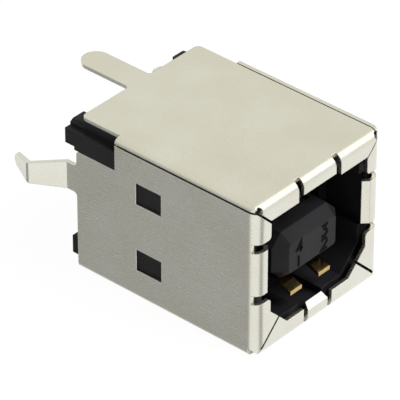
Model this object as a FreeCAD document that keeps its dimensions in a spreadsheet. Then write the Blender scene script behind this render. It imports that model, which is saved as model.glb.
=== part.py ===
"""A vertical USB type B socket: a folded sheet shield round a moulded housing with four contacts.

Frame: X across the socket, +Y from the mating face back to the board, +Z up, on the bottom wall.
The pieces are drawn with the mating face at y = 0 and then moved back by half of the overall length,
so that the origin is under the middle of the part.
"""

import FreeCAD, Part
import math
import os
import re

import Sketcher

# Driving sizes in millimetres. Each becomes a named cell of the sheet.
SIZES = {
    # folded shield
    "ShellWidth": 10.9,
    "ShellHeight": 10.44,
    "WallLength": 13.75,
    "SheetThick": 0.25,
    "FrontBend": 0.65,
    "SideBend": 0.4,
    "SideFlange": 1.225,
    "TopFlange": 1.33,
    "OpenBottom": 1.33,
    "OpenChamfer": 1.5,
    "SeamGap": 0.08,
    "LeftGap": 0.14,
    "ReliefRadius": 0.22,
    "ReliefInset": 0.34,
    "MitreEnd": 0.45,
    "CornerNip": 0.55,
    # spring fingers in the front flanges
    "TopSlot": 0.45,
    "SideSlot": 0.6,
    "BottomSlot": 0.38,
    "SlotDeep": 0.46,
    "SlotCorner": 0.22,
    "TopFinger": 2.82,
    "SideFingerShare": 0.379,
    "SideFingerRise": 0.5745,
    "BottomFinger": 1.74,
    "BottomTip": 1.22,
    "FingerInset": 0.29,
    "FingerReach": 0.36,
    # windows in the side walls
    "WindowMid": 8.17,
    "WindowLong": 1.93,
    "WindowTall": 1.47,
    "UpperWindowDown": 3.05,
    "LowerWindow": 2.75,
    # notches at the rear top corners
    "NotchLong": 3.0,
    "NotchDown": 2.19,
    "NotchInset": 0.48,
    "CoverCorner": 0.35,
    "WallCorner": 0.22,
    # board legs of the shield
    "LegLong": 4.3,
    "FlatLegWide": 1.8,
    "SideLegWide": 1.85,
    "SideLegRise": 0.5987,
    "KinkStart": 0.85,
    "KinkOut": 1.36,
    "KinkRun": 1.79,
    "KinkBack": 0.68,
    "CrestTaper": 0.24,
    "LegTipWide": 0.9,
    "LegFillet": 0.25,
    # moulded housing
    "LinerStep": 0.05,
    "BlockInset": 0.3,
    "BlockLong": 2.05,
    "FeetProud": 0.85,
    "FootWide": 1.6,
    "FootInset": 0.45,
    "FootLift": 0.23,
    "NotchBlockOut": 0.15,
    "FootChamferWide": 0.25,
    "FootChamferTall": 0.15,
    "ShoulderDown": 0.92,
    "FeetDown": 0.59,
    "LowFootTop": 1.7,
    "FitGap": 0.03,
    "RampRise": 0.14,
    "FingerRoom": 0.5,
    "FingerRoomDeep": 3.0,
    # tongue
    "TongueWidth": 5.6,
    "TongueTall": 3.18,
    "TongueMid": 5.0,
    "TongueCorner": 0.8,
    "TongueFront": 0.5,
    "BevelLong": 0.7,
    "TipWidth": 4.1,
    "TipTall": 1.96,
    "TipCorner": 0.15,
    # contacts
    "ContactPitch": 2.5,
    "ContactWide": 1.0,
    "ContactThick": 0.25,
    "ContactSunk": 0.22,
    "LowerFront": 0.6,
    "UpperFront": 2.5,
    "GrooveFront": 2.2,
    "SpringEnd": 5.75,
    "SpringRadius": 12.6,
    "JogInside": 0.6,
    "JogLong": 0.6,
    "TailLong": 2.6,
    "TailPitch": 2.0,
    "TailWide": 0.6,
    "TailTaper": 0.8,
}

SIZE_NAME = re.compile(r"[A-Z][A-Za-z]+")
SLIVER = 0.01
OVERLAP = 0.1
ROOT_TWO = 1.4142
OCTAGON_SHARE = 0.5858

# Where the faces of a kinked leg turn, as shares of the sheet's thickness
KNEE_LAG = 0.3
KNEE_LEAD = 0.1
CREST_HALF = 0.4
CREST_THICK = 1.15

doc = FreeCAD.newDocument("usb_b_socket")
sheet = doc.addObject("Spreadsheet::Sheet", "sizes")
for row, (size_name, size) in enumerate(SIZES.items(), start=1):
    sheet.set(f"A{row}", size_name)
    sheet.set(f"B{row}", str(size))
    sheet.setAlias(f"B{row}", size_name)
doc.recompute()


def bound(text):
    """The expression with each size's name turned into a reference to its cell."""
    return SIZE_NAME.sub(lambda found: "sizes." + found.group(0), str(text))


def value(text):
    """The number that an expression of sizes has now, in millimetres."""
    return float(sheet.evalExpression(str(text)))


# Expressions that several pieces share
HALF = "(ShellWidth / 2)"
INNER = "(ShellWidth / 2 - SheetThick)"
ROOF = "(ShellHeight - SheetThick)"
OPEN_SIDE = "(ShellWidth / 2 - SideFlange)"
OPEN_TOP = "(ShellHeight - TopFlange)"
FINGER_MID = "(OpenBottom + (ShellHeight - TopFlange - OpenBottom) * SideFingerRise)"
FINGER_HALF = "((ShellHeight - TopFlange - OpenBottom) * SideFingerShare / 2)"
UPPER_WINDOW = "(ShellHeight - UpperWindowDown)"
NOTCH_START = "(WallLength - NotchLong)"
NOTCH_FLOOR = "(ShellHeight - NotchDown)"
LEG_TIP = "(WallLength + LegLong)"
SIDE_LEG_MID = "(ShellHeight * SideLegRise)"
BLOCK_REAR = "(WallLength - BlockInset)"
CAVITY_END = "(WallLength - BlockInset - BlockLong)"
FEET_END = "(WallLength + FeetProud)"
SHOULDER = "(ShellHeight - ShoulderDown)"
FEET_TOP = "(ShellHeight - FeetDown)"
SEAT = "(TongueTall / 2 - ContactSunk)"
FACE = f"({SEAT} + ContactThick)"
JOG_START = f"({CAVITY_END} + JogInside)"
JOG_END = f"({JOG_START} + JogLong)"
TAIL_IN = "(TailPitch / 2 - ContactThick / 2)"
TAIL_OUT = "(TailPitch / 2 + ContactThick / 2)"
TAIL_END = f"({FEET_END} + TailLong)"


def new_body(name):
    body = doc.addObject("PartDesign::Body", name)
    body.Label = name
    body.setExpression("Placement.Base.y", bound(f"-{LEG_TIP} / 2"))
    return body


def origin_plane(body, role):
    return next(item for item in body.Origin.OriginFeatures if item.Role == role)


def start_sketch(body, name, plane, offset="0"):
    """An empty sketch on one of the body's origin planes, moved along the plane's normal."""
    sketch = body.newObject("Sketcher::SketchObject", name)
    sketch.AttachmentSupport = [(origin_plane(body, plane), "")]
    sketch.MapMode = "FlatFace"
    sketch.setExpression("AttachmentOffset.Base.z", bound(offset))
    return sketch


def arc_through(start, end, radius, turn):
    """The short arc of the given radius from start to end, turning left for turn 1 and right for -1."""
    half = (end - start) * 0.5
    rise = math.sqrt(max(radius**2 - half.Length**2, 0.0))
    side = FreeCAD.Vector(-half.y, half.x, 0).normalize()
    centre = start + half + side * (rise * turn)
    circle = Part.Circle(centre, FreeCAD.Vector(0, 0, 1), radius)
    first = circle.parameter(start)
    last = circle.parameter(end)
    if turn < 0:
        first, last = last, first
    if last < first:
        last += 2 * math.pi
    return Part.ArcOfCircle(circle, first, last)


def add_loop(sketch, corners):
    """A closed outline. A corner is (x, y), or (x, y, radius, turn) where an arc leaves it."""
    first = sketch.GeometryCount
    spots = [FreeCAD.Vector(value(corner[0]), value(corner[1]), 0) for corner in corners]
    count = len(corners)
    heads = []
    for index, corner in enumerate(corners):
        start = spots[index]
        end = spots[(index + 1) % count]
        if len(corner) == 2:
            sketch.addGeometry(Part.LineSegment(start, end), False)
            heads.append((1, 2))
            continue
        turn = corner[3]
        sketch.addGeometry(arc_through(start, end, value(corner[2]), turn), False)
        heads.append((1, 2) if turn > 0 else (2, 1))
    for index in range(count):
        after = (index + 1) % count
        ends = (first + index, heads[index][1], first + after, heads[after][0])
        sketch.addConstraint(Sketcher.Constraint("Coincident", *ends))
    for index, corner in enumerate(corners):
        place = (first + index, heads[index][0])
        for axis, text in zip(("DistanceX", "DistanceY"), corner):
            rule = sketch.addConstraint(Sketcher.Constraint(axis, -1, 1, *place, value(text)))
            sketch.setExpression(f"Constraints[{rule}]", bound(text))
        if len(corner) > 2:
            rule = sketch.addConstraint(Sketcher.Constraint("Radius", first + index, value(corner[2])))
            sketch.setExpression(f"Constraints[{rule}]", bound(corner[2]))


def round_hole(body, name, plane, across, up, radius, offset="0"):
    """A sketch that holds one circle."""
    sketch = start_sketch(body, name, plane, offset)
    centre = FreeCAD.Vector(value(across), value(up), 0)
    sketch.addGeometry(Part.Circle(centre, FreeCAD.Vector(0, 0, 1), value(radius)), False)
    for axis, text in (("DistanceX", across), ("DistanceY", up)):
        rule = sketch.addConstraint(Sketcher.Constraint(axis, -1, 1, 0, 3, value(text)))
        sketch.setExpression(f"Constraints[{rule}]", bound(text))
    rule = sketch.addConstraint(Sketcher.Constraint("Radius", 0, value(radius)))
    sketch.setExpression(f"Constraints[{rule}]", bound(radius))
    return sketch


def outline(body, name, plane, loops, offset="0"):
    """A sketch that holds one or more closed outlines."""
    sketch = start_sketch(body, name, plane, offset)
    for corners in loops:
        add_loop(sketch, corners)
    return sketch


def extrude(body, kind, sketch, length, back=False, midplane=False):
    """Pad or pocket a sketch along its plane's normal, or back against it, and check the volume."""
    before = body.Shape.Volume if body.Tip else 0.0
    feature = body.newObject(f"PartDesign::{kind}", sketch.Name + "_" + kind.lower())
    feature.Profile = (sketch, [""])
    feature.setExpression("Length", bound(length))
    feature.Reversed = back if kind == "Pad" else not back
    feature.Midplane = midplane
    doc.recompute()
    gained = body.Shape.Volume - before
    if (gained > 0) != (kind == "Pad") or abs(gained) < 1e-9:
        raise RuntimeError(f"{feature.Name} in {body.Name} changed the volume by {gained}")
    return feature


def rectangle(left, bottom, right, top):
    return [(left, bottom), (right, bottom), (right, top), (left, top)]


def mirrored(corners):
    """The outline mirrored in its first coordinate, with its arcs turned the other way."""
    flipped = []
    count = len(corners)
    for index in range(count):
        here = corners[-index % count]
        before = corners[(-index - 1) % count]
        spot = (f"-({here[0]})", here[1])
        flipped.append(spot + (before[2], before[3]) if len(before) > 2 else spot)
    return flipped


def opening_loop(grow):
    """The mating opening, with its two lower corners cut at 45 degrees, grown by a margin all round."""
    side = f"({OPEN_SIDE} + {grow})"
    low = f"(OpenBottom - {grow})"
    high = f"({OPEN_TOP} + {grow})"
    cut = f"(OpenChamfer + {grow} * {OCTAGON_SHARE})"
    return [
        (f"-{side} + {cut}", low),
        (f"{side} - {cut}", low),
        (side, f"{low} + {cut}"),
        (side, high),
        (f"-{side}", high),
        (f"-{side}", f"{low} + {cut}"),
    ]


def ring_loop(inset, radius):
    """The shield's section, inset by the sheet or not: three rounded corners and a square one, top right."""
    side = f"({HALF} - {inset})"
    high = f"(ShellHeight - {inset})"
    return [
        (f"-{side} + {radius}", inset),
        (f"{side} - {radius}", inset, radius, 1),
        (side, f"{inset} + {radius}"),
        (side, high),
        (f"-{side} + {radius}", high, radius, 1),
        (f"-{side}", f"{high} - {radius}"),
        (f"-{side}", f"{inset} + {radius}", radius, 1),
    ]


def round_off(body, name, plane, corner, toward, radius, length, offset="0", midplane=True):
    """Cut the sliver outside a quarter circle at a square corner, along a whole edge."""
    across = f"{corner[0]} + {toward[0]} * {radius}"
    along = f"{corner[1]} + {toward[1]} * {radius}"
    turn = -1 if toward[0] * toward[1] > 0 else 1
    loop = [(corner[0], corner[1]), (across, corner[1], radius, turn), (corner[0], along)]
    extrude(body, "Pocket", outline(body, name, plane, [loop], offset), length, midplane=midplane)


def fold_box():
    """The four folded walls with their bent front flanges, before the seams part them."""
    body = new_body("folded_sheet")
    walls = [ring_loop("0", "SideBend"), ring_loop("SheetThick", "(SideBend - SheetThick)")]
    ring = outline(body, "walls", "XZ_Plane", walls, "-FrontBend")
    extrude(body, "Pad", ring, "WallLength - FrontBend", back=True)
    front = outline(body, "flanges", "XZ_Plane", [ring_loop("0", "SideBend"), opening_loop("0")])
    extrude(body, "Pad", front, "FrontBend", back=True)
    bend_front_edges(body)
    hollow_behind_flanges(body)
    return body


def bend_front_edges(body):
    """Round the four front edges to the outer radius of the bend."""
    wide = "ShellWidth + 2"
    tall = "2 * ShellHeight + 2"
    round_off(body, "bend_bottom", "YZ_Plane", ("0", "0"), (1, 1), "FrontBend", wide)
    round_off(body, "bend_top", "YZ_Plane", ("0", "ShellHeight"), (1, -1), "FrontBend", wide)
    round_off(body, "bend_left", "XY_Plane", (f"-{HALF}", "0"), (1, 1), "FrontBend", tall)
    round_off(body, "bend_right", "XY_Plane", (HALF, "0"), (-1, 1), "FrontBend", tall)


def hollow_behind_flanges(body):
    """Thin the front down to a flange and its bend, with the inner radius of the bend left in."""
    bend = "(FrontBend - SheetThick)"
    deep = f"FrontBend + {SLIVER}"
    start = f"{OPEN_SIDE} - OpenChamfer"
    top = [
        ("SheetThick", OPEN_TOP),
        (deep, OPEN_TOP),
        (deep, ROOF),
        (f"SheetThick + {bend}", ROOF, bend, 1),
        ("SheetThick", f"{ROOF} - {bend}"),
    ]
    bottom = [
        ("SheetThick", "OpenBottom"),
        ("SheetThick", f"SheetThick + {bend}", bend, 1),
        (f"SheetThick + {bend}", "SheetThick"),
        (deep, "SheetThick"),
        (deep, "OpenBottom"),
    ]
    wide = f"2 * {INNER}"
    extrude(body, "Pocket", outline(body, "behind_top", "YZ_Plane", [top]), wide, midplane=True)
    extrude(body, "Pocket", outline(body, "behind_bottom", "YZ_Plane", [bottom]), wide, midplane=True)
    right = [
        (start, "SheetThick"),
        (f"{INNER} - {bend}", "SheetThick", bend, 1),
        (INNER, f"SheetThick + {bend}"),
        (INNER, deep),
        (start, deep),
    ]
    tall = f"{ROOF} - SheetThick"
    for name, loop in (("behind_right", right), ("behind_left", mirrored(right))):
        extrude(body, "Pocket", outline(body, name, "XY_Plane", [loop], "SheetThick"), tall)


def cut_flange_slots(body):
    """Two slots in each wall part the middle of its flange from the rest."""
    walls = (
        ("top", "TopFinger", "TopSlot", f"{OPEN_TOP} - {OVERLAP}", "TopFlange + 1"),
        ("bottom", "BottomFinger", "BottomSlot", "-1", f"OpenBottom + 1 + {OVERLAP}"),
    )
    for side, finger, slot, base, span in walls:
        right = rectangle(f"{finger} / 2", "-1", f"{finger} / 2 + {slot}", "SlotDeep")
        slots = [right, mirrored(right)]
        extrude(body, "Pocket", outline(body, f"slots_{side}", "XY_Plane", slots, base), span)
    upper = f"{FINGER_MID} + {FINGER_HALF}"
    lower = f"{FINGER_MID} - {FINGER_HALF}"
    slots = [
        rectangle("-1", upper, "SlotDeep", f"{upper} + SideSlot"),
        rectangle("-1", f"{lower} - SideSlot", "SlotDeep", lower),
    ]
    sketch = outline(body, "slots_sides", "YZ_Plane", slots)
    extrude(body, "Pocket", sketch, "ShellWidth + 2", midplane=True)
    round_slot_corners(body, upper, lower)


def round_slot_corners(body, upper, lower):
    """Round the corners where the side slots leave the opening."""
    for name, side in (("left", -1), ("right", 1)):
        edge = f"{side} * {OPEN_SIDE}"
        for level, height, up in (("over", f"{upper} + SideSlot", 1), ("under", f"{lower} - SideSlot", -1)):
            round_off(body, f"corner_{level}_{name}", "XZ_Plane", (edge, height), (side, up), "SlotCorner", "1")


def finger_loop(edge, into):
    """Side view of a lip that folds back at 45 degrees from the flange's shortened edge."""
    root = f"{edge} - {into} * {OVERLAP}"
    skew = f"SheetThick / {ROOT_TWO}"
    return [
        ("0", root),
        ("0", edge),
        ("FingerReach", f"{edge} + {into} * FingerReach"),
        (f"FingerReach + {skew}", f"{edge} + {into} * (FingerReach - {skew})"),
        ("SheetThick", f"{edge} - {into} * SheetThick * ({ROOT_TWO} - 1)"),
        ("SheetThick", root),
    ]


def shape_fingers(body):
    """Shorten the middle of each flange and fold its lip back into the cavity."""
    inset = "FingerInset"
    top = f"{OPEN_TOP} + {inset}"
    bottom = f"OpenBottom - {inset}"
    side = f"({OPEN_SIDE} + {inset})"
    low = f"{FINGER_MID} - {FINGER_HALF}"
    high = f"{FINGER_MID} + {FINGER_HALF}"
    right = rectangle(f"{OPEN_SIDE} - {OVERLAP}", low, side, high)
    gaps = {
        "top": rectangle("-TopFinger / 2", f"{OPEN_TOP} - {OVERLAP}", "TopFinger / 2", top),
        "bottom": rectangle("-BottomFinger / 2", bottom, "BottomFinger / 2", f"OpenBottom + {OVERLAP}"),
        "right": right,
        "left": mirrored(right),
    }
    for name, gap in gaps.items():
        sketch = outline(body, f"short_{name}", "XZ_Plane", [gap], f"-SheetThick - {SLIVER}")
        extrude(body, "Pocket", sketch, f"SheetThick + {OVERLAP}")
    for name, edge, into, wide in (("top", top, -1, "TopFinger"), ("bottom", bottom, 1, "BottomFinger")):
        sketch = outline(body, f"lip_{name}", "YZ_Plane", [finger_loop(edge, into)])
        extrude(body, "Pad", sketch, wide, midplane=True)
    for name, sign in (("left", -1), ("right", 1)):
        lip = [(f"{sign} * ({corner[1]})", corner[0]) for corner in finger_loop(side, -1)]
        sketch = outline(body, f"lip_{name}", "XY_Plane", [lip], low)
        extrude(body, "Pad", sketch, f"2 * {FINGER_HALF}")
    taper_bottom_finger(body, bottom)


def taper_bottom_finger(body, root):
    """Narrow the bottom finger's lip from its root to its tip."""
    far = "FingerReach + SheetThick"
    right = [
        ("BottomFinger / 2", "0"),
        (f"BottomFinger / 2 + {OVERLAP}", "0"),
        (f"BottomFinger / 2 + {OVERLAP}", far),
        ("BottomTip / 2", far),
    ]
    sketch = outline(body, "lip_taper", "XY_Plane", [right, mirrored(right)], root)
    extrude(body, "Pocket", sketch, "1")


def cut_windows(body):
    """Two windows through each side wall, where the housing's ramps latch."""
    front = "WindowMid - WindowLong / 2"
    rear = "WindowMid + WindowLong / 2"
    loops = [
        rectangle(front, f"{mid} - WindowTall / 2", rear, f"{mid} + WindowTall / 2")
        for mid in (UPPER_WINDOW, "LowerWindow")
    ]
    extrude(body, "Pocket", outline(body, "windows", "YZ_Plane", loops), "ShellWidth + 2", midplane=True)


def cut_rear_notches(body):
    """The rear top corners are cut away: the left lip and the tops of both side walls."""
    back_to = "WallLength + 1"
    above = "ShellHeight + 1"
    notch = rectangle(NOTCH_START, NOTCH_FLOOR, back_to, above)
    left = outline(body, "notch_left", "YZ_Plane", [notch], f"-({HALF}) - 1")
    extrude(body, "Pocket", left, "NotchInset + 1")
    right = outline(body, "notch_right", "YZ_Plane", [notch], f"{INNER} - SeamGap / 2")
    extrude(body, "Pocket", right, "SheetThick + 1")
    wall_end = ("WallLength", NOTCH_FLOOR)
    round_off(body, "wall_corners", "YZ_Plane", wall_end, (-1, -1), "WallCorner", "ShellWidth + 2")
    corner = (f"-{HALF} + NotchInset", "WallLength")
    round_off(body, "plate_corner", "XY_Plane", corner, (1, -1), "CoverCorner", "2", "ShellHeight")
    edge = f"{INNER} - SeamGap"
    outside = [
        (edge, "WallLength - CoverCorner", "CoverCorner", 1),
        (f"{edge} - CoverCorner", "WallLength"),
        (f"{edge} + SeamGap * 2", "WallLength"),
        (f"{edge} + SeamGap * 2", "WallLength - CoverCorner"),
    ]
    sketch = outline(body, "plate_corner_right", "XY_Plane", [outside], "ShellHeight")
    extrude(body, "Pocket", sketch, "2", midplane=True)


def add_flat_leg(body):
    """The leg of the top wall runs straight back in its plane and ends in a half round."""
    half = "FlatLegWide / 2"
    full = f"{LEG_TIP} - FlatLegWide / 2"
    root = f"WallLength - {OVERLAP}"
    leg = [
        (f"-{half} - LegFillet", root),
        (f"{half} + LegFillet", root),
        (f"{half} + LegFillet", "WallLength", "LegFillet", -1),
        (half, "WallLength + LegFillet"),
        (half, full, half, 1),
        ("0", LEG_TIP, half, 1),
        (f"-{half}", full),
        (f"-{half}", "WallLength + LegFillet", "LegFillet", -1),
        (f"-{half} - LegFillet", "WallLength"),
    ]
    sketch = outline(body, "flat_leg", "XY_Plane", [leg], ROOF)
    extrude(body, "Pad", sketch, "SheetThick")


def add_side_legs(body):
    """The kinked legs of the side walls: straight back, out, and in again to a narrow tip."""
    root = f"WallLength - {OVERLAP}"
    knee = "(WallLength + KinkStart)"
    crest = f"({knee} + KinkRun)"
    low = f"{SIDE_LEG_MID} - SideLegWide / 2"
    right = [
        (INNER, root),
        (HALF, root),
        (HALF, f"{knee} - {KNEE_LAG} * SheetThick"),
        (f"{HALF} + KinkOut", f"{crest} - {CREST_HALF} * SheetThick"),
        (f"{HALF} + KinkOut", f"{crest} + {CREST_HALF} * SheetThick"),
        (f"{HALF} + KinkOut - KinkBack", LEG_TIP),
        (f"{HALF} + KinkOut - KinkBack - SheetThick", LEG_TIP),
        (f"{HALF} + KinkOut - {CREST_THICK} * SheetThick", crest),
        (INNER, f"{knee} + {KNEE_LEAD} * SheetThick"),
    ]
    for name, loop in (("leg_right", right), ("leg_left", mirrored(right))):
        extrude(body, "Pad", outline(body, name, "XY_Plane", [loop], low), "SideLegWide")
    taper_side_legs(body, knee, crest)
    blend_leg_roots(body)


def taper_side_legs(body, knee, crest):
    """Narrow both side legs from the knee to a rounded tip, above and below."""
    for name, sign in (("over", 1), ("under", -1)):
        edge = f"{SIDE_LEG_MID} + {sign} * SideLegWide / 2"
        shoulder = f"{SIDE_LEG_MID} + {sign} * (SideLegWide / 2 - CrestTaper)"
        tip = f"{SIDE_LEG_MID} + {sign} * LegTipWide / 2"
        outer = f"{SIDE_LEG_MID} + {sign} * (SideLegWide / 2 + 1)"
        loop = [
            (knee, edge),
            (crest, shoulder),
            (f"{LEG_TIP} - LegTipWide / 2", tip, "LegTipWide / 2", -sign),
            (LEG_TIP, SIDE_LEG_MID),
            (f"{LEG_TIP} + 1", SIDE_LEG_MID),
            (f"{LEG_TIP} + 1", outer),
            (knee, outer),
        ]
        sketch = outline(body, f"taper_{name}", "YZ_Plane", [loop])
        extrude(body, "Pocket", sketch, "ShellWidth + 4 * KinkOut", midplane=True)


def blend_leg_roots(body):
    """Fill the inner corners where the side legs leave the walls."""
    for name, sign in (("over", 1), ("under", -1)):
        edge = f"{SIDE_LEG_MID} + {sign} * SideLegWide / 2"
        inside = f"{SIDE_LEG_MID} + {sign} * (SideLegWide / 2 - {OVERLAP})"
        far = f"{SIDE_LEG_MID} + {sign} * (SideLegWide / 2 + LegFillet)"
        loop = [
            (f"WallLength - {OVERLAP}", inside),
            ("WallLength + LegFillet", inside),
            ("WallLength + LegFillet", edge, "LegFillet", -sign),
            ("WallLength", far),
            (f"WallLength - {OVERLAP}", far),
        ]
        for side, start in (("left", f"-{HALF}"), ("right", INNER)):
            sketch = outline(body, f"blend_{name}_{side}", "YZ_Plane", [loop], start)
            extrude(body, "Pad", sketch, "SheetThick")


def cut_mitres(body):
    """Slits along the two lower mitres, relief holes at the upper corners and nipped lower corners."""
    near = f"({OPEN_SIDE} - OpenChamfer / 2)"
    high = "(OpenBottom + OpenChamfer / 2)"
    half_slit = f"(SeamGap / {ROOT_TWO})"
    run = f"({HALF} - MitreEnd - {near})"
    slit = [
        (f"{near} - {OVERLAP} - {half_slit}", f"{high} + {OVERLAP} - {half_slit}"),
        (f"{near} + {run} - {half_slit}", f"{high} - {run} - {half_slit}"),
        (f"{near} + {run} + {half_slit}", f"{high} - {run} + {half_slit}"),
        (f"{near} - {OVERLAP} + {half_slit}", f"{high} + {OVERLAP} + {half_slit}"),
    ]
    nip = [(f"{HALF} - CornerNip", "0"), (HALF, "0"), (HALF, "CornerNip")]
    for name, loop in (("mitre", slit), ("nip", nip)):
        sketch = outline(body, f"{name}s", "XZ_Plane", [loop, mirrored(loop)], "-FrontBend")
        extrude(body, "Pocket", sketch, "FrontBend + 1")
    for name, sign in (("left", -1), ("right", 1)):
        centre = (f"{sign} * ({HALF} - ReliefInset)", "ShellHeight - ReliefInset")
        sketch = round_hole(body, f"relief_{name}", "XZ_Plane", *centre, "ReliefRadius", "-FrontBend")
        extrude(body, "Pocket", sketch, "FrontBend + 1")


def seam_zone(name, left_gap, right_gap):
    """The space above the seams, whose edges the gaps lower, on the left and on the right."""
    body = new_body(name)
    left_rise = f"({INNER} - {OPEN_SIDE})"
    right_edge = f"({INNER} - SeamGap + {right_gap})"
    right_rise = f"({right_edge} - {OPEN_SIDE})"
    lip = "(TopFinger / 2 + TopSlot / 2)"
    left_low = f"{OPEN_TOP} - {left_gap} * {ROOT_TWO}"
    right_low = f"{OPEN_TOP} - {right_gap} * {ROOT_TWO}"
    left_seam = f"{OPEN_TOP} + {left_rise} - {left_gap}"
    zone = [
        (f"-{OPEN_SIDE}", left_low),
        (f"-{lip}", left_low),
        (f"-{lip}", f"{OPEN_TOP} - FingerReach"),
        (lip, f"{OPEN_TOP} - FingerReach"),
        (lip, right_low),
        (OPEN_SIDE, right_low),
        (right_edge, f"{right_low} + {right_rise}"),
        (right_edge, "ShellHeight + 1"),
        (f"-{HALF} - 1", "ShellHeight + 1"),
        (f"-{HALF} - 1", left_seam),
        (f"-{INNER} - {left_gap} * ({ROOT_TWO} - 1)", left_seam),
    ]
    sketch = outline(body, name + "_face", "XZ_Plane", [zone], "1")
    extrude(body, "Pad", sketch, f"{LEG_TIP} + 2", back=True)
    return body


def boolean(kind, name, base, tool):
    """A boolean of two solids, as an object of its own."""
    result = doc.addObject(f"Part::{kind}", name)
    result.Base = base
    result.Tool = tool
    result.Label = name
    doc.recompute()
    return result


def build_shield():
    """Fold the box, cut its openings, then part it along the seams into a shell and a cover."""
    sheet_box = fold_box()
    cut_flange_slots(sheet_box)
    shape_fingers(sheet_box)
    cut_windows(sheet_box)
    cut_rear_notches(sheet_box)
    add_flat_leg(sheet_box)
    add_side_legs(sheet_box)
    cut_mitres(sheet_box)
    shell = boolean("Cut", "shield_shell", sheet_box, seam_zone("above_seams", "LeftGap", "SeamGap"))
    cover = boolean("Common", "shield_cover", sheet_box, seam_zone("cover_side", "0", "0"))
    return shell, cover


def build_housing():
    """The moulded insulator: liner, tongue, rear block, feet and latch ramps."""
    body = new_body("housing")
    block = rectangle(f"-{INNER}", "SheetThick", INNER, ROOF)
    cavity = opening_loop("LinerStep")
    liner = outline(body, "liner", "XZ_Plane", [block, cavity], "-FrontBend")
    extrude(body, "Pad", liner, f"{CAVITY_END} - FrontBend", back=True)
    floor = outline(body, "rear_block", "XZ_Plane", [block], f"-{CAVITY_END}")
    extrude(body, "Pad", floor, "BlockLong", back=True)
    clear_side_bends(body)
    add_tongue(body)
    add_feet(body)
    cut_shoulders(body)
    cut_finger_rooms(body)
    add_ramps(body)
    cut_contact_ways(body)
    return body


def clear_side_bends(body):
    """Flats along the long edges keep clear of the sheet's inner bend radius."""
    flat = "SideBend / 2"
    for name, across in (("left", -1), ("right", 1)):
        for level, base, up in (("low", "SheetThick", 1), ("high", ROOF, -1)):
            edge = f"{across} * {INNER}"
            loop = [
                (edge, base),
                (f"{edge} - {across} * {flat}", base),
                (edge, f"{base} + {up} * {flat}"),
            ]
            sketch = outline(body, f"flat_{name}_{level}", "XZ_Plane", [loop])
            extrude(body, "Pocket", sketch, "WallLength", back=True)


def octagon(width, tall, corner):
    """A section of the tongue about its own middle, with cut corners."""
    side = f"{width} / 2"
    half = f"{tall} / 2"
    return [
        (f"-{side} + {corner}", f"TongueMid - {half}"),
        (f"{side} - {corner}", f"TongueMid - {half}"),
        (side, f"TongueMid - {half} + {corner}"),
        (side, f"TongueMid + {half} - {corner}"),
        (f"{side} - {corner}", f"TongueMid + {half}"),
        (f"-{side} + {corner}", f"TongueMid + {half}"),
        (f"-{side}", f"TongueMid + {half} - {corner}"),
        (f"-{side}", f"TongueMid - {half} + {corner}"),
    ]


def add_tongue(body):
    """A straight tongue from the cavity's floor, then a bevelled tip just behind the mating face."""
    shoulder = "(TongueFront + BevelLong)"
    section = octagon("TongueWidth", "TongueTall", "TongueCorner")
    straight = outline(body, "tongue", "XZ_Plane", [section], f"-{shoulder}")
    extrude(body, "Pad", straight, f"{CAVITY_END} - {shoulder}", back=True)
    base = outline(body, "tip_base", "XZ_Plane", [section], f"-{shoulder}")
    end = outline(body, "tip_end", "XZ_Plane", [octagon("TipWidth", "TipTall", "TipCorner")], "-TongueFront")
    tip = body.newObject("PartDesign::AdditiveLoft", "tip")
    tip.Profile = base
    tip.Sections = [end]
    tip.Ruled = True
    doc.recompute()


def add_feet(body):
    """Four feet that stand on the board, and blocks that fill the shield's rear notches."""
    inner = f"({HALF} - FootWide)"
    outer = f"({HALF} - FootInset)"
    lift = f"{NOTCH_FLOOR} + FitGap"
    upper = [
        (inner, f"{lift} + FootLift"),
        (HALF, f"{lift} + FootLift"),
        (HALF, SHOULDER),
        (outer, SHOULDER),
        (outer, f"{FEET_TOP} - FootChamferTall"),
        (f"{outer} - FootChamferWide", FEET_TOP),
        (inner, FEET_TOP),
    ]
    lower = rectangle(inner, "2 * SheetThick", outer, "LowFootTop")
    side_block = rectangle(f"{INNER} - {OVERLAP}", lift, HALF, SHOULDER)
    foot_start = f"{BLOCK_REAR} - {OVERLAP}"
    block_start = f"{NOTCH_START} + FitGap"
    for name, loop, start, end in (
        ("upper_feet", upper, foot_start, FEET_END),
        ("lower_feet", lower, foot_start, FEET_END),
        ("notch_blocks", side_block, block_start, "WallLength + NotchBlockOut"),
    ):
        sketch = outline(body, name, "XZ_Plane", [loop, mirrored(loop)], f"-({start})")
        extrude(body, "Pad", sketch, f"{end} - ({start})", back=True)


def cut_shoulders(body):
    """Above each notch block the moulding steps in to meet the cover's edge."""
    step = rectangle(f"{HALF} - FootInset", SHOULDER, f"{HALF} + 1", "ShellHeight")
    sketch = outline(body, "shoulders", "XZ_Plane", [step, mirrored(step)], f"-{NOTCH_START}")
    extrude(body, "Pocket", sketch, f"{BLOCK_REAR} - {NOTCH_START}", back=True)


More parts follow.
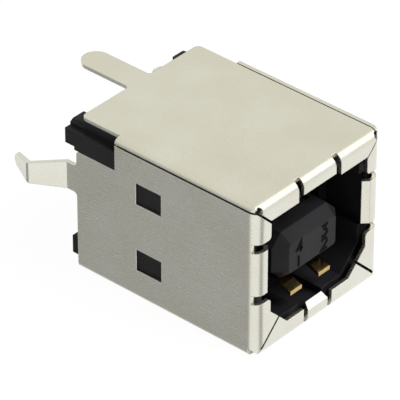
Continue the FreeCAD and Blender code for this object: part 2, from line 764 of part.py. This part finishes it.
def cut_finger_rooms(body):
    """Recesses in the liner give the spring fingers room to move outwards."""
    edge_low = "OpenBottom - LinerStep"
    edge_high = f"{OPEN_TOP} + LinerStep"
    edge_side = f"({OPEN_SIDE} + LinerStep)"
    low = f"{FINGER_MID} - {FINGER_HALF} - SideSlot / 2"
    high = f"{FINGER_MID} + {FINGER_HALF} + SideSlot / 2"
    top = "(TopFinger + TopSlot) / 2"
    bottom = "(BottomFinger + BottomSlot) / 2"
    right = rectangle(f"{edge_side} - {OVERLAP}", low, f"{edge_side} + FingerRoom", high)
    rooms = [
        rectangle(f"-{top}", f"{edge_high} - {OVERLAP}", top, f"{edge_high} + FingerRoom"),
        rectangle(f"-{bottom}", f"{edge_low} - FingerRoom", bottom, f"{edge_low} + {OVERLAP}"),
        right,
        mirrored(right),
    ]
    sketch = outline(body, "finger_rooms", "XZ_Plane", rooms, f"-FrontBend + {OVERLAP}")
    extrude(body, "Pocket", sketch, "FingerRoomDeep", back=True)


def add_ramps(body):
    """Latch ramps that rise towards the rear edge of each window and catch behind it."""
    front = "WindowMid - WindowLong / 2 + FitGap"
    rear = "WindowMid + WindowLong / 2 - FitGap"
    tall = "WindowTall - 2 * FitGap"
    ramp = [
        (f"{INNER} - {OVERLAP}", front),
        (f"{INNER} + {SLIVER}", front),
        (f"{INNER} + RampRise", rear),
        (f"{INNER} - {OVERLAP}", rear),
    ]
    for level, mid in (("upper", UPPER_WINDOW), ("lower", "LowerWindow")):
        sketch = outline(body, f"ramps_{level}", "XY_Plane", [ramp, mirrored(ramp)], f"{mid} - ({tall}) / 2")
        extrude(body, "Pad", sketch, tall)


def contact_spots():
    """For each contact its name, its side of the middle, its side of the tongue and where its spring ends."""
    return [
        ("contact_1", -1, -1, "LowerFront"),
        ("contact_2", 1, -1, "LowerFront"),
        ("contact_3", 1, 1, "UpperFront"),
        ("contact_4", -1, 1, "UpperFront"),
    ]


def cut_contact_ways(body):
    """A groove along the tongue for each contact, and a way through the rear block for its joggle."""
    half = "(ContactWide / 2 + FitGap)"
    for name, across, side, _ in contact_spots():
        left = f"{across} * ContactPitch / 2 - {half}"
        right = f"{across} * ContactPitch / 2 + {half}"
        ends = (f"TongueMid + {side} * {SEAT}", f"TongueMid + {side} * (TongueTall / 2 + {OVERLAP})")
        low, high = ends if side > 0 else ends[::-1]
        groove = rectangle(left, low, right, high)
        sketch = outline(body, f"groove_{name}", "XZ_Plane", [groove], "-GrooveFront")
        extrude(body, "Pocket", sketch, f"{BLOCK_REAR} + 1", back=True)
        ends = (f"TongueMid + {side} * ({TAIL_IN} - FitGap)", f"TongueMid + {side} * ({SEAT} + {OVERLAP})")
        low, high = ends if side > 0 else ends[::-1]
        way = rectangle(left, low, right, high)
        sketch = outline(body, f"way_{name}", "XZ_Plane", [way], f"-{JOG_START} + JogInside / 2")
        extrude(body, "Pocket", sketch, "BlockLong + 1", back=True)


def contact_loop(side, front):
    """Side view of a contact: a spring that curves away from the tongue, seated strip, joggle and tail."""

    def level(text):
        return f"TongueMid + {side} * {text}"

    reach = f"(SpringEnd - {front})"
    away = f"(SpringRadius - sqrt(SpringRadius * SpringRadius - {reach} * {reach}))"
    third = "ContactThick / 3"
    return [
        (front, level(f"({SEAT} + {away})")),
        (front, level(f"({FACE} + {away})"), "SpringRadius", side),
        ("SpringEnd", level(FACE)),
        (JOG_START, level(FACE)),
        (JOG_END, level(TAIL_OUT)),
        (f"{TAIL_END} - TailTaper", level(TAIL_OUT)),
        (TAIL_END, level(f"({TAIL_OUT} - {third})")),
        (TAIL_END, level(f"({TAIL_IN} + {third})")),
        (f"{TAIL_END} - TailTaper", level(TAIL_IN)),
        (f"{JOG_END} - {third}", level(TAIL_IN)),
        (f"{JOG_START} - {third}", level(SEAT)),
        ("SpringEnd", level(SEAT), "SpringRadius", -side),
    ]


def build_contact(name, across, side, front):
    """One gold-plated spring contact with a narrower straight tail."""
    body = new_body(name)
    spot = f"{across} * ContactPitch / 2"
    view = outline(body, f"{name}_side", "YZ_Plane", [contact_loop(side, front)], f"{spot} - ContactWide / 2")
    extrude(body, "Pad", view, "ContactWide")
    trim = "(ContactWide - TailWide) / 2"
    strips = []
    for sign in (-1, 1):
        ends = (f"{spot} + {sign} * TailWide / 2", f"{spot} + {sign} * ContactWide")
        left, right = ends if sign > 0 else ends[::-1]
        strips.append(rectangle(left, f"{JOG_END} + {trim}", right, f"{TAIL_END} + 1"))
    sketch = outline(body, f"{name}_tail", "XY_Plane", strips)
    extrude(body, "Pocket", sketch, "2 * ShellHeight", midplane=True)
    return body


def check_and_write(pieces):
    """Stop on any failed object or bad shape, then write one file for each piece."""
    doc.recompute()
    for item in doc.Objects:
        if {"Invalid", "Error"} & set(item.State):
            raise RuntimeError(f"{item.Name} failed: {item.State}")
    os.makedirs("parts", exist_ok=True)
    for piece in pieces:
        shape = piece.Shape
        if shape.isNull() or not shape.isValid() or len(shape.Solids) != 1:
            raise RuntimeError(f"{piece.Label} isn't one valid solid")
        shape.exportStep(f"parts/{piece.Label}.step")
        box = shape.BoundBox
        print(f"{piece.Label}: {shape.Volume:.2f} mm3, x {box.XMin:.2f} to {box.XMax:.2f}, "
              f"y {box.YMin:.2f} to {box.YMax:.2f}, z {box.ZMin:.2f} to {box.ZMax:.2f}")


shell, cover = build_shield()
housing = build_housing()
contacts = [build_contact(*spot) for spot in contact_spots()]
check_and_write([shell, cover, housing, *contacts])
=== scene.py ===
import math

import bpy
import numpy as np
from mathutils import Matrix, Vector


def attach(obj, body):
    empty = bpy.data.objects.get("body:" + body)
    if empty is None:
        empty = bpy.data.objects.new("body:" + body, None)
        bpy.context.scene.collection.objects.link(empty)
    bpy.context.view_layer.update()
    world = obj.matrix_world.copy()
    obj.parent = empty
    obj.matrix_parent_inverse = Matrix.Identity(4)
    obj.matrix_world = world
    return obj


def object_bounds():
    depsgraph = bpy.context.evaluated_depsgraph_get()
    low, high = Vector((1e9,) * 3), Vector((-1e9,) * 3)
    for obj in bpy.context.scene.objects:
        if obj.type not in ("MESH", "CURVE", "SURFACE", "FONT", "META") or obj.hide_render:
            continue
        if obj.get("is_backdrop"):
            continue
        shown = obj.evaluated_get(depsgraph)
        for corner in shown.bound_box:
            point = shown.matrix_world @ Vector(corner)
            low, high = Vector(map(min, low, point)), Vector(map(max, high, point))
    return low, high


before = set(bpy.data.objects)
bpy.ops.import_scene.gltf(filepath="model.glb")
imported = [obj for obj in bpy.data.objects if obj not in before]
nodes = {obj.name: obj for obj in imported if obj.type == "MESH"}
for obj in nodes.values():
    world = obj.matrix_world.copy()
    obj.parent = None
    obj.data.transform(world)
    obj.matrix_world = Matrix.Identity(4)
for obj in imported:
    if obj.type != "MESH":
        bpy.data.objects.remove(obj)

# %% [markdown]
# # A square plug socket for a circuit board
#
# The object is a small connector: a box of folded, tin-plated steel sheet with a black moulding inside it,
# a tongue in the middle of its mouth, and four gold-plated contact springs on that tongue. It is only 18 mm
# long.
#
# Its solids come from the CAD model, which this script has just loaded. They already have the right shapes,
# so the work here is what CAD leaves out: how plated sheet, moulded plastic and gold take the light, the
# numbers on the tongue, and a plain studio to see them in. Everything is in metres, in the same frame as
# the CAD.

MM = 0.001
cad_low, cad_high = (list(corner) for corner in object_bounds())
print("CAD box in mm:", np.round(np.subtract(cad_high, cad_low) / MM, 2))
print("nodes:", ", ".join(sorted(nodes)))

# %% [markdown]
# ## The camera
#
# A long lens far away keeps the box's edges nearly parallel, as product pictures do. The camera is placed
# by two angles round the object and a distance: that is easier to read, and to change, than a matrix of
# nine numbers. Three unit vectors, to the right, up, and back from the object to the lens, follow from the
# angles, and they are also the columns of the camera's turn.

# %% The camera, from its angles
AZIMUTH, ELEVATION, ROLL = (math.radians(angle) for angle in (-48.616, 34.869, 0.040))
LENS_MM, SENSOR_MM = 359.21, 36.0
DISTANCE, SHIFT_RIGHT, SHIFT_UP = 230.219 * MM, -6.785 * MM, 6.829 * MM
MOUTH_Y = cad_low[1]


def camera_axes(azimuth, elevation, roll):
    """Right, up and back as columns: back is the direction from the object to the lens, right lies level,
    and up is back cross right. Roll then turns right and up about back."""
    back = np.array([
        math.sin(azimuth) * math.cos(elevation),
        -math.cos(azimuth) * math.cos(elevation),
        math.sin(elevation),
    ])
    right = np.array([math.cos(azimuth), math.sin(azimuth), 0.0])
    up = np.cross(back, right)
    turned = math.cos(roll) * right + math.sin(roll) * up
    return np.stack([turned, np.cross(back, turned), back], axis=1)


def make_camera():
    """The camera at those angles, moved along its own axes from the middle of the mouth's lower edge."""
    axes = camera_axes(AZIMUTH, ELEVATION, ROLL)
    data = bpy.data.cameras.new("camera")
    data.lens, data.sensor_width = LENS_MM, SENSOR_MM
    data.clip_start, data.clip_end = 0.01, 20.0
    camera = bpy.data.objects.new("camera", data)
    place = np.eye(4)
    place[:3, :3] = axes
    place[:3, 3] = axes @ (SHIFT_RIGHT, SHIFT_UP, DISTANCE) + (0.0, MOUTH_Y, 0.0)
    camera.matrix_world = Matrix(place)
    bpy.context.scene.collection.objects.link(camera)
    bpy.context.scene.camera = camera
    return camera


camera = make_camera()
print("camera at mm:", [round(value / MM, 1) for value in camera.matrix_world.translation])

# %% [markdown]
# ## Helpers for shader nodes
#
# A material here is a short chain of nodes. `add` adds one node, sets its options, and fills each input
# either with a number or with another node's output, so that a material reads from top to bottom like a
# recipe. The other helpers build on it.

# %% The node helpers
# The Mix node has sockets for numbers, vectors and colours, and these are the places of its colours
MIX_COLOUR_INPUTS, MIX_COLOUR_OUTPUT = (6, 7), 2
# The mask of edges goes from 1 to 0 as the dot product of the two normals goes from the first to the second
EDGE_AGREEMENT = 0.80, 0.995


def add(tree, kind, inputs=None, **options):
    """Adds a node. An input that is given a socket is linked to it, and any other value is set."""
    node = tree.nodes.new(kind)
    for name, value in options.items():
        setattr(node, name, value)
    for name, value in (inputs or {}).items():
        if isinstance(value, bpy.types.NodeSocket):
            tree.links.new(value, node.inputs[name])
        else:
            node.inputs[name].default_value = value
    return node


def start_material(name):
    """An empty node material, with the Object coordinates that its patterns read."""
    material = bpy.data.materials.new(name)
    material.use_nodes = True
    tree = material.node_tree
    tree.nodes.clear()
    place = add(tree, "ShaderNodeTexCoord").outputs["Object"]
    return material, tree, place


def colour_ramp(tree, factor, low, high, start=0.3, end=0.7):
    """A colour that goes from low to high as factor goes from start to end."""
    ramp = add(tree, "ShaderNodeValToRGB", {"Fac": factor})
    for stop, position, colour in zip(ramp.color_ramp.elements, (start, end), (low, high)):
        stop.position, stop.color = position, (*colour, 1.0)
    return ramp.outputs["Color"]


def spread(tree, value, low, high, start=0.3, end=0.7):
    """A number that goes from low to high as value goes from start to end."""
    sockets = {"Value": value, "From Min": start, "From Max": end, "To Min": low, "To Max": high}
    return add(tree, "ShaderNodeMapRange", sockets).outputs["Result"]


def calculate(tree, operation, first, second=0.0):
    """One step of arithmetic on two sockets or numbers. A cosine reads only the first."""
    return add(tree, "ShaderNodeMath", {0: first, 1: second}, operation=operation).outputs[0]


def noise(tree, place, size, detail=2.0, stretch=(1.0, 1.0, 1.0)):
    """Soft random blotches of about that size in metres, longer where stretch is above 1."""
    scale = [1.0 / (size * along) for along in stretch]
    mapped = add(tree, "ShaderNodeMapping", {"Vector": place, "Scale": scale}).outputs["Vector"]
    return add(tree, "ShaderNodeTexNoise", {"Vector": mapped, "Scale": 1.0, "Detail": detail}).outputs["Fac"]


def soft_edges(tree, radius):
    """The normal with each sharp edge rounded off to that radius, and a mask that is 1 on those edges:
    where the rounded and the flat normal agree, their dot product is 1 and the mask is 0."""
    rounded = add(tree, "ShaderNodeBevel", {"Radius": radius}, samples=6).outputs["Normal"]
    flat = add(tree, "ShaderNodeNewGeometry").outputs["Normal"]
    agree = add(tree, "ShaderNodeVectorMath", {0: rounded, 1: flat}, operation="DOT_PRODUCT").outputs["Value"]
    return rounded, spread(tree, agree, 1.0, 0.0, *EDGE_AGREEMENT)


def blend_colour(tree, factor, first, second):
    """first where factor is 0 and second where it is 1."""
    mix = add(tree, "ShaderNodeMix", {0: factor}, data_type="RGBA")
    for index, colour in zip(MIX_COLOUR_INPUTS, (first, second)):
        if isinstance(colour, bpy.types.NodeSocket):
            tree.links.new(colour, mix.inputs[index])
        else:
            mix.inputs[index].default_value = (*colour, 1.0)
    return mix.outputs[MIX_COLOUR_OUTPUT]


def bumped(tree, height, depth, normal):
    """normal, disturbed by height, which is depth metres from its lowest to its highest."""
    return add(
        tree, "ShaderNodeBump", {"Strength": 1.0, "Distance": depth, "Height": height, "Normal": normal}
    ).outputs["Normal"]


def finish_material(tree, inputs):
    """Ends a material with the Principled shader."""
    shader = add(tree, "ShaderNodeBsdfPrincipled", inputs).outputs["BSDF"]
    add(tree, "ShaderNodeOutputMaterial", {"Surface": shader})


def dress(material, *names):
    """Puts the material, alone, on each of those CAD pieces."""
    for name in names:
        nodes[name].data.materials.clear()
        nodes[name].data.materials.append(material)
    print(material.name, "on", ", ".join(names))


print("helpers ready")

# %% [markdown]
# ## Plated sheet
#
# The shield is thin steel that was rolled, plated with dull tin, stamped and folded. Three things make it
# look so: a warm grey that drifts a little from place to place, very fine lines along the rolling
# direction, which is the socket's length, and stamped edges that the die has rounded. A single grey with a
# low roughness would look like a mirror or like paint. A Bevel node rounds the edges in the shading only,
# which keeps the CAD shape as it is, and their colour is painted lighter: a painted highlight, a thin line
# of light on each edge. An Ambient Occlusion node finds the seams, and their colour is painted dark there
# as painted shade.

# %% Plated sheet
SEAM_REACH = 0.35 * MM
# The painted seam shade is strongest where only the first share of the surroundings is open, and gone at the
# second
SEAM_OPEN, SEAM_SHADE_PEAK = (0.45, 0.90), 0.75


def plated_sheet():
    material, tree, place = start_material("plated_sheet")
    drift = noise(tree, place, 3.2 * MM, detail=3.0)
    lines = noise(tree, place, 0.09 * MM, detail=3.0, stretch=(1.0, 14.0, 1.0))
    rounded, edge = soft_edges(tree, 0.07 * MM)
    warm = colour_ramp(tree, drift, (0.755, 0.738, 0.640), (0.800, 0.792, 0.715))
    # The edges' colour is painted lighter: a painted highlight, the thin line of light on each rounded edge
    painted_highlight_colour = blend_colour(tree, edge, warm, (0.82, 0.81, 0.76))
    # Painted shade: the colour is darkened where Ambient Occlusion finds seams and creases between the parts
    open_air = add(tree, "ShaderNodeAmbientOcclusion", {"Distance": SEAM_REACH}, samples=8).outputs["AO"]
    painted_seam_shade = spread(tree, open_air, SEAM_SHADE_PEAK, 0.0, *SEAM_OPEN)
    colour = blend_colour(tree, painted_seam_shade, painted_highlight_colour, (0.20, 0.19, 0.13))
    finish_material(tree, {
        "Base Color": colour,
        "Metallic": 0.97,
        "Roughness": spread(tree, lines, 0.24, 0.33),
        "Normal": bumped(tree, lines, 0.0004 * MM, rounded),
    })
    return material


dress(plated_sheet(), "shield_shell", "shield_cover")

# %% [markdown]
# ## Black moulding
#
# The insulator is injection-moulded plastic, nearly black, with the faint grain of a spark-eroded mould.
# Its edges are never quite sharp: a Bevel node rounds them in the shading, and their colour is painted
# lighter, a painted highlight for the light that slides along them. The bump is two thousandths of a
# millimetre deep: at this size a deeper one would look like rubber or cast iron.

# %% Black moulding
def black_moulding():
    material, tree, place = start_material("black_moulding")
    grain = noise(tree, place, 0.05 * MM, detail=4.0)
    flow = noise(tree, place, 2.5 * MM, detail=2.0)
    rounded, edge = soft_edges(tree, 0.06 * MM)
    black = colour_ramp(tree, flow, (0.0070, 0.0069, 0.0080), (0.0110, 0.0107, 0.0124))
    # The edges' colour is painted lighter: a painted highlight, the light that slides along the rounded edges
    colour = blend_colour(tree, edge, black, (0.024, 0.024, 0.026))
    finish_material(tree, {
        "Base Color": colour,
        "Specular IOR Level": 0.16,
        "Roughness": spread(tree, grain, 0.40, 0.58),
        "Normal": bumped(tree, grain, 0.002 * MM, rounded),
    })
    return material


dress(black_moulding(), "housing")

# %% [markdown]
# ## Gold plating
#
# The contact springs are stamped from bronze strip and plated with gold. Gold is easy: it is a metal, so
# its colour is the colour of its reflection. A little unevenness in the roughness stops it from looking
# like jewellery.

# %% Gold plating
def gold_plating():
    material, tree, place = start_material("contact_gold")
    drift = noise(tree, place, 0.6 * MM, detail=2.0)
    lines = noise(tree, place, 0.04 * MM, detail=2.0, stretch=(1.0, 10.0, 1.0))
    rounded, _ = soft_edges(tree, 0.05 * MM)
    finish_material(tree, {
        "Base Color": colour_ramp(tree, drift, (0.52, 0.36, 0.14), (0.64, 0.47, 0.21)),
        "Metallic": 1.0,
        "Roughness": spread(tree, drift, 0.11, 0.17),
        "Normal": bumped(tree, lines, 0.0001 * MM, rounded),
    })
    return material


dress(gold_plating(), "contact_1", "contact_2", "contact_3", "contact_4")

# %% [markdown]
# ## The numbers on the tongue
#
# The tongue's tip carries the contact numbers, one by each spring, moulded a few hundredths of a millimetre
# proud. They could be text objects, but a font's outline has many points and no fixed stroke. Here each
# digit is a path of a few points, and a flat bar is carried along it: at every corner the bar's side is the
# mean of the sides of the two runs that meet there, made longer so that the stroke keeps its width.

# %% A bar carried along a flat path
def bar_along(path, width, rise):
    """A closed bar along a path in a plane. Each point's side vector is the unit normal of its run, or at a
    corner the sum of both normals divided by one plus their dot product, which is the mitre. The four
    corners of the bar are the point plus or minus half a width along that side, at heights 0 and rise."""
    path = np.asarray(path, float)
    runs = np.diff(path, axis=0)
    runs /= np.linalg.norm(runs, axis=1, keepdims=True)
    normals = np.stack([-runs[:, 1], runs[:, 0]], axis=1)
    before = np.vstack([normals[:1], normals])
    after = np.vstack([normals, normals[-1:]])
    side = (before + after) / (1.0 + np.sum(before * after, axis=1, keepdims=True))
    left, right = path + side * width / 2, path - side * width / 2
    low, high = np.zeros(len(path)), np.full(len(path), rise)
    section = ((left, low), (left, high), (right, high), (right, low))
    corners = [np.column_stack([edge, level]) for edge, level in section]
    points = np.stack(corners, axis=1).reshape(-1, 3)
    starts = np.arange(len(path) - 1)[:, None] * 4
    first = starts + np.arange(4)
    following = starts + np.roll(np.arange(4), -1)
    quads = np.stack([first, following, following + 4, first + 4], axis=2).reshape(-1, 4)
    last = (len(path) - 1) * 4
    ends = np.array([[3, 2, 1, 0], [last, last + 1, last + 2, last + 3]])
    return points, np.vstack([quads, ends])


# Each digit's path, as shares of its width and height
STROKES = {
    1: [(0.35, 0.0), (0.35, 1.0)],
    2: [(0.05, 0.78), (0.25, 1.0), (0.75, 1.0), (0.95, 0.78), (0.95, 0.58), (0.05, 0.0), (1.0, 0.0)],
    3: [(0.05, 1.0), (0.90, 1.0), (0.45, 0.60), (0.95, 0.42), (0.95, 0.18), (0.70, 0.0), (0.05, 0.0)],
    4: [(0.78, 0.0), (0.78, 1.0), (0.10, 0.34), (1.05, 0.34)],
}
# The lower left corner of each digit on the tongue's tip: x and z in millimetres
PLACES = {1: (-1.38, 4.14), 2: (0.80, 4.16), 3: (0.80, 5.10), 4: (-1.40, 5.08)}
DIGIT_WIDE, DIGIT_HIGH, STROKE_WIDE, STROKE_RISE = 0.50 * MM, 0.72 * MM, 0.14 * MM, 0.03 * MM
TONGUE_DEPTH = 0.5 * MM
TONGUE_TIP_Y = MOUTH_Y + TONGUE_DEPTH
print("digits:", {digit: len(path) for digit, path in STROKES.items()})

# %% The four digits as one piece
def digit_mesh():
    """All digits together: across goes to x, a digit's height to z, and a stroke's rise to -y."""
    all_points, all_faces, used = [], [], 0
    for digit, path in STROKES.items():
        scaled = np.asarray(path) * (DIGIT_WIDE, DIGIT_HIGH) + np.asarray(PLACES[digit]) * MM
        points, faces = bar_along(scaled, STROKE_WIDE, STROKE_RISE)
        placed = np.column_stack([points[:, 0], TONGUE_TIP_Y - points[:, 2], points[:, 1]])
        all_points.append(placed)
        all_faces.append(faces + used)
        used += len(points)
    mesh = bpy.data.meshes.new("tongue_numbers")
    mesh.from_pydata(np.vstack(all_points).tolist(), [], np.vstack(all_faces).tolist())
    mesh.validate()
    return mesh


numbers = bpy.data.objects.new("tongue_numbers", digit_mesh())
bpy.context.scene.collection.objects.link(numbers)
print("numbers:", len(numbers.data.polygons), "faces")

# %% Their finish, with painted shade
def number_finish():
    material, tree, place = start_material("number_painted_shade")
    grain = noise(tree, place, 0.03 * MM, detail=3.0)
    rounded, _ = soft_edges(tree, 0.02 * MM)
    finish_material(tree, {
        # The numbers' colour is painted darker than the tongue's: painted shade for the dark strokes of the
        # marks
        "Base Color": colour_ramp(tree, grain, (0.0015, 0.0015, 0.0018), (0.0030, 0.0030, 0.0034)),
        "Specular IOR Level": 0.05,
        "Roughness": spread(tree, grain, 0.60, 0.75),
        "Normal": bumped(tree, grain, 0.001 * MM, rounded),
    })
    return material


numbers.data.materials.append(number_finish())
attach(numbers, "root")
print("numbers ride on the one body")

# %% [markdown]
# ## Floor, sky and lamps
#
# The picture's background is plain white. Turning the lamps up until a grey floor burns out would bleach
# the object too, so for the rays of the lens the sky is white by itself, and so is nearly all of the
# floor's colour. The small rest is an ordinary matt floor, which takes the object's soft shadow. Diffuse
# rays meet that matt floor alone.
#
# Metal shows its surroundings, so bare sheet in an even white room has no shape at all. A photographer puts
# white screens round such a thing and leaves gaps between them: flat walls then reflect one screen or one
# gap, and each bend sweeps past several and gets its bands. The sky is painted like that for the rays that
# metal reflects, by azimuth and height, and the floor is clear for those rays, so that the walls can see
# the screens below the horizon too. One gap makes the left wall the darkest, and a narrow one draws the
# thin dark line beside the left front bend.
#
# The main lamp is wide and weak: it stands at the front right, high enough to put the brightest band on the
# top bend. A second lamp shines into the mouth. It is hidden from glossy rays, so it lifts the black
# moulding and leaves the metal almost alone.

# %% A floor that is white for the lens and clear for reflections
WHITE_SHARE, MATT_SHARE = 0.97, 0.93
FLOOR_HALF, FLOOR_DROP = 1.5, 0.01 * MM


def ray_kinds(tree):
    """1 for rays of the lens, and 1 for rays that glossy or clear surfaces send on."""
    path = add(tree, "ShaderNodeLightPath").outputs
    sent_on = calculate(tree, "MAXIMUM", path["Is Glossy Ray"], path["Is Transmission Ray"])
    return path["Is Camera Ray"], sent_on


def floor_material():
    material = bpy.data.materials.new("floor_white")
    material.use_nodes = True
    tree = material.node_tree
    tree.nodes.clear()
    from_lens, sent_on = ray_kinds(tree)
    white = add(tree, "ShaderNodeEmission", {"Color": (1, 1, 1, 1), "Strength": 1.0}).outputs[0]
    matt = add(tree, "ShaderNodeBsdfDiffuse", {"Color": (MATT_SHARE, MATT_SHARE, MATT_SHARE, 1)}).outputs[0]
    clear = add(tree, "ShaderNodeBsdfTransparent").outputs[0]
    white_share = calculate(tree, "MULTIPLY", from_lens, WHITE_SHARE)
    seen = add(tree, "ShaderNodeMixShader", {0: white_share, 1: matt, 2: white}).outputs[0]
    both = add(tree, "ShaderNodeMixShader", {0: sent_on, 1: seen, 2: clear}).outputs[0]
    add(tree, "ShaderNodeOutputMaterial", {"Surface": both})
    return material


def make_floor():
    """One square, just under the object."""
    corners = np.array([[-1, -1, 0], [1, -1, 0], [1, 1, 0], [-1, 1, 0]], float) * FLOOR_HALF
    corners -= (0, 0, FLOOR_DROP)
    mesh = bpy.data.meshes.new("floor")
    mesh.from_pydata(corners.tolist(), [], [[0, 1, 2, 3]])
    floor = bpy.data.objects.new("floor", mesh)
    mesh.materials.append(floor_material())
    bpy.context.scene.collection.objects.link(floor)
    floor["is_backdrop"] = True
    return floor


floor = make_floor()
print("floor of", 2 * FLOOR_HALF, "m")

# %% The sky, with its screens and gaps
AROUND_LEVEL, OVERHEAD_LEVEL, FILL = 0.98, 0.80, 0.80
# Each gap between the screens: its azimuth, the half widths of its core and whole, and its darkness
GAPS = ((132.0, 18.0, 36.0, 0.62), (280.0, 8.0, 26.0, 0.60))
# The heights, as the z of a direction, between which the screens, the gaps and the warm tint change
SCREEN_HEIGHTS, GAP_HEIGHTS, TINT_HEIGHTS = (-0.30, 0.45), (-0.10, 0.45), (-0.2, 0.6)
PLAIN_WHITE, WARM_WHITE = (1.0, 1.0, 1.0), (1.0, 0.985, 0.89)


def screen_light(tree):
    """The level falls from the screens to the sky overhead. In each gap it is multiplied by one minus the
    gap's darkness, which depends on the cosine of the angle from the gap's middle and fades out upwards."""
    direction = add(tree, "ShaderNodeTexCoord").outputs["Generated"]
    parts = add(tree, "ShaderNodeSeparateXYZ", {0: direction}).outputs
    azimuth = calculate(tree, "ARCTAN2", parts["Y"], parts["X"])
    low = spread(tree, parts["Z"], 1.0, 0.0, *GAP_HEIGHTS)
    level = spread(tree, parts["Z"], AROUND_LEVEL, OVERHEAD_LEVEL, *SCREEN_HEIGHTS)
    for middle, core, whole, depth in GAPS:
        nearness = calculate(tree, "COSINE", calculate(tree, "SUBTRACT", azimuth, math.radians(middle)))
        rim, heart = math.cos(math.radians(whole)), math.cos(math.radians(core))
        dark = spread(tree, nearness, 0.0, depth, rim, heart)
        kept = calculate(tree, "SUBTRACT", 1.0, calculate(tree, "MULTIPLY", dark, low))
        level = calculate(tree, "MULTIPLY", level, kept)
    return level, parts["Z"]


def make_sky():
    """White for the lens, the screens for reflections, and a share of their light for dull surfaces."""
    world = bpy.data.worlds.new("sky")
    world.use_nodes = True
    tree = world.node_tree
    tree.nodes.clear()
    from_lens, sent_on = ray_kinds(tree)
    level, height = screen_light(tree)
    share = spread(tree, sent_on, FILL, 1.0, 0.0, 1.0)
    studio = calculate(tree, "MULTIPLY", level, share)
    strength = add(tree, "ShaderNodeMix", {0: from_lens, 2: studio, 3: 1.0}).outputs[0]
    warm = blend_colour(tree, spread(tree, height, 0.0, 1.0, *TINT_HEIGHTS), PLAIN_WHITE, WARM_WHITE)
    colour = blend_colour(tree, from_lens, warm, PLAIN_WHITE)
    sky = add(tree, "ShaderNodeBackground", {"Color": colour, "Strength": strength}).outputs[0]
    add(tree, "ShaderNodeOutputWorld", {"Surface": sky})
    bpy.context.scene.world = world


make_sky()
print("white screens round the table, with", len(GAPS), "dark gaps between them")

# %% The lamps
def add_sun(name, towards, strength, spread_deg):
    """A soft far lamp. Its rays come from the direction `towards`, and its disc is spread_deg wide."""
    data = bpy.data.lights.new(name, "SUN")
    data.energy, data.angle = strength, math.radians(spread_deg)
    lamp = bpy.data.objects.new(name, data)
    back = np.array(towards, float) / np.linalg.norm(towards)
    side = np.cross((0, 0, 1), back)
    side /= np.linalg.norm(side)
    place = np.eye(4)
    place[:3, :3] = np.stack([side, np.cross(back, side), back], axis=1)
    lamp.matrix_world = Matrix(place)
    bpy.context.scene.collection.objects.link(lamp)
    return lamp


add_sun("main_lamp", (0.60, -0.54, 0.59), 0.42, 44.0)
mouth_lamp = add_sun("mouth_lamp", (0.28, -0.60, 0.75), 4.5, 30.0)
mouth_lamp.visible_glossy = False
print("lamps: one for the bends, and one that only dull surfaces take")

# %% [markdown]
# ## The view settings
#
# Standard keeps colours as they are written.

# %% The view settings
bpy.context.scene.view_settings.view_transform = "Standard"
